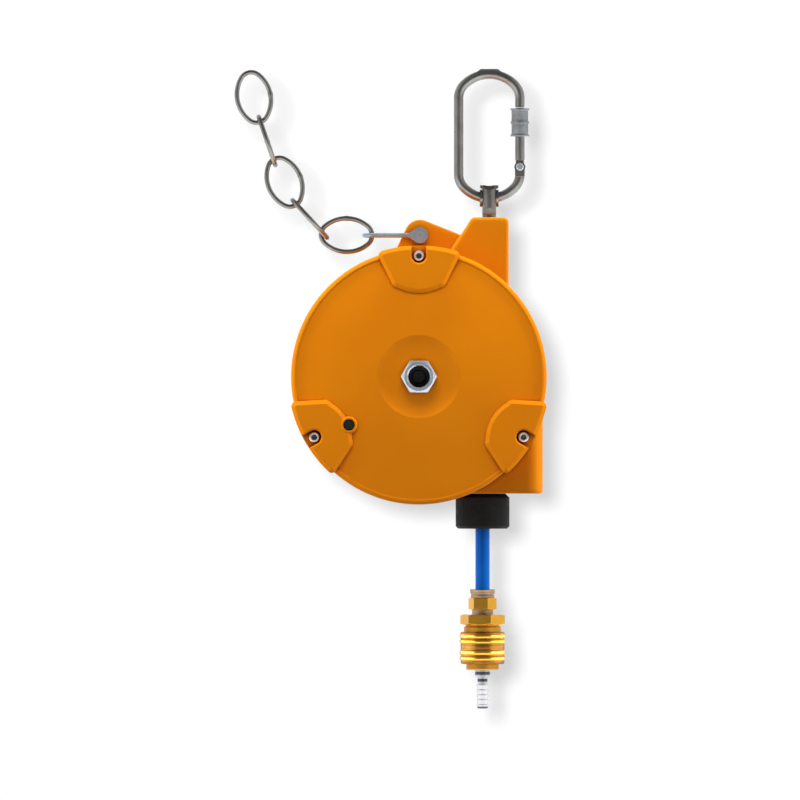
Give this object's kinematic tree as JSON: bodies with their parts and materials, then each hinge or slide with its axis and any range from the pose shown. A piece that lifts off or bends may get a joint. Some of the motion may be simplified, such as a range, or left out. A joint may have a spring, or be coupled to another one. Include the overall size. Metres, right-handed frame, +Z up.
{
  "type": "hose balancer",
  "caption": "Spring balancer with a built-in compressed-air hose, hung from a swivel snap hook, with a safety chain and a quick coupling on the hose.",
  "frame": {"origin": "where the snap hook rests on its support: the middle of the inner side of its upper bow", "axes": "+Z up, the front cover faces -Y, +X to the right seen from the front; Y = 0 is the plane of the hook, swivel and hose"},
  "size_m": [0.1956, 0.0985, 0.4015],
  "materials": {
    "orange_casting": "satin orange powder coat",
    "zinc_steel": "bright zinc-plated steel",
    "stainless": "polished stainless steel wire",
    "spring_steel": "oiled spring steel",
    "brass": "bright turned brass",
    "black_rubber": "matt black rubber",
    "blue_hose": "blue polyurethane hose",
    "black_plastic": "black moulded plastic",
    "grey_plastic": "natural acetal",
    "cast_aluminium": "plain casting",
    "sintered": "dark sintered metal"
  },
  "bodies": {
    "hook": {"carabiner_frame": "stainless", "gate_rivet": "stainless"},
    "gate": {"gate": "stainless"},
    "lock_sleeve": {"lock_sleeve": "stainless"},
    "swivel": {"swivel_eye": "stainless", "eye_bush": "black_plastic", "thrust_washer": "zinc_steel", "stud_nut": "zinc_steel", "split_pin": "zinc_steel"},
    "casing": {"rear_housing": "orange_casting", "front_cover": "orange_casting", "cover_screws": "zinc_steel", "inlet_axle": "zinc_steel", "inlet_strainer": "sintered", "axle_nut": "zinc_steel", "axle_washer": "zinc_steel", "spring_arbor": "zinc_steel", "outlet_bush": "black_plastic", "swivel_bush": "grey_plastic", "hose_feed": "blue_hose"},
    "drum": {"hose_drum": "cast_aluminium", "drum_flange": "cast_aluminium", "drum_bushes": "grey_plastic", "rotary_seals": "black_rubber", "spring_cassette": "zinc_steel", "cassette_cover": "zinc_steel", "cassette_screws": "zinc_steel", "power_spring": "spring_steel", "hose_tail": "brass", "hose_coil": "blue_hose"},
    "lock_pin": {"lock_pin": "black_plastic"},
    "hose_end": {"stop_buffer": "black_rubber", "free_hose": "blue_hose", "hose_ferrule": "brass", "hose_nut": "brass", "coupling_adapter": "brass", "coupling_body": "brass", "coupling_seal": "black_rubber", "locking_balls": "zinc_steel", "coupling_valve": "brass", "valve_spring": "spring_steel", "sleeve_spring": "spring_steel"},
    "coupling_sleeve": {"coupling_sleeve": "brass"},
    "plug": {"plug_nipple": "zinc_steel"},
    "shackle": {"shackle": "stainless", "chain_pin": "stainless"},
    "link_5": {"chain_link_5": "stainless"},
    "link_4": {"chain_link_4": "stainless"},
    "link_3": {"chain_link_3": "stainless"},
    "link_2": {"chain_link_2": "stainless"},
    "link_1": {"chain_link_1": "stainless"}
  },
  "joints": [
    {"name": "gate_hinge", "type": "hinge", "parent": "hook", "child": "gate", "pos_m": [0.0192, 0, -0.0552], "axis": [0, -1, 0], "range_deg": [0, 28], "stiffness_Nm_per_rad": 0.02, "springref_deg": -34.38},
    {"name": "lock_sleeve_slide", "type": "slide", "parent": "gate", "child": "lock_sleeve", "axis": [0, 0, 1], "range_m": [0, 0.005]},
    {"name": "eye_tilt", "type": "hinge", "parent": "hook", "child": "swivel", "pos_m": [0, 0, -0.0748], "axis": [1, 0, 0], "range_deg": [-90, 90]},
    {"name": "swivel_turn", "type": "hinge", "parent": "swivel", "child": "casing", "pos_m": [0, 0, -0.1004], "axis": [0, 0, 1], "continuous": true},
    {"name": "drum_spin", "type": "hinge", "parent": "casing", "child": "drum", "pos_m": [-0.0442, 0, -0.1868], "axis": [0, 1, 0], "range_deg": [0, 1140], "stiffness_Nm_per_rad": 0.02, "springref_deg": -1432.39},
    {"name": "hose_pull", "type": "slide", "parent": "casing", "child": "hose_end", "axis": [0, 0, -1], "range_m": [0, 0.796]},
    {"name": "lock_pin_push", "type": "slide", "parent": "casing", "child": "lock_pin", "axis": [0, 1, 0], "range_m": [0, 0.005], "stiffness_N_per_m": 400, "springref_m": -0.004},
    {"name": "coupling_release", "type": "slide", "parent": "hose_end", "child": "coupling_sleeve", "axis": [0, 0, 1], "range_m": [0, 0.0035], "stiffness_N_per_m": 1500, "springref_m": -0.004, "deforming": ["sleeve_spring"]},
    {"name": "plug_turn", "type": "hinge", "parent": "hose_end", "child": "plug", "pos_m": [-0.0042, 0, -0.3768], "axis": [0, 0, 1], "continuous": true},
    {"name": "shackle_swing", "type": "hinge", "parent": "casing", "child": "shackle", "pos_m": [-0.04345, 0, -0.0981], "axis": [0, 1, 0], "range_deg": [-8, 45]},
    {"name": "link_5_swing", "type": "hinge", "parent": "shackle", "child": "link_5", "pos_m": [-0.07835, 0, -0.0981], "axis": [0, -1, 0], "range_deg": [-45, 25]},
    {"name": "link_4_swing", "type": "hinge", "parent": "link_5", "child": "link_4", "pos_m": [-0.10165, 0, -0.09956], "axis": [0, 1, 0], "range_deg": [-40, 40]},
    {"name": "link_3_swing", "type": "hinge", "parent": "link_4", "child": "link_3", "pos_m": [-0.12335, 0, -0.07604], "axis": [0, -1, 0], "range_deg": [-40, 40]},
    {"name": "link_2_swing", "type": "hinge", "parent": "link_3", "child": "link_2", "pos_m": [-0.13422, 0, -0.05399], "axis": [0, 1, 0], "range_deg": [-40, 40]},
    {"name": "link_1_swing", "type": "hinge", "parent": "link_2", "child": "link_1", "pos_m": [-0.14458, 0, -0.02371], "axis": [0, -1, 0], "range_deg": [-40, 40]}
  ],
  "couplings": [
    {"joint": "hose_pull", "follows": "drum_spin", "m_per_rad": 0.04}
  ]
}
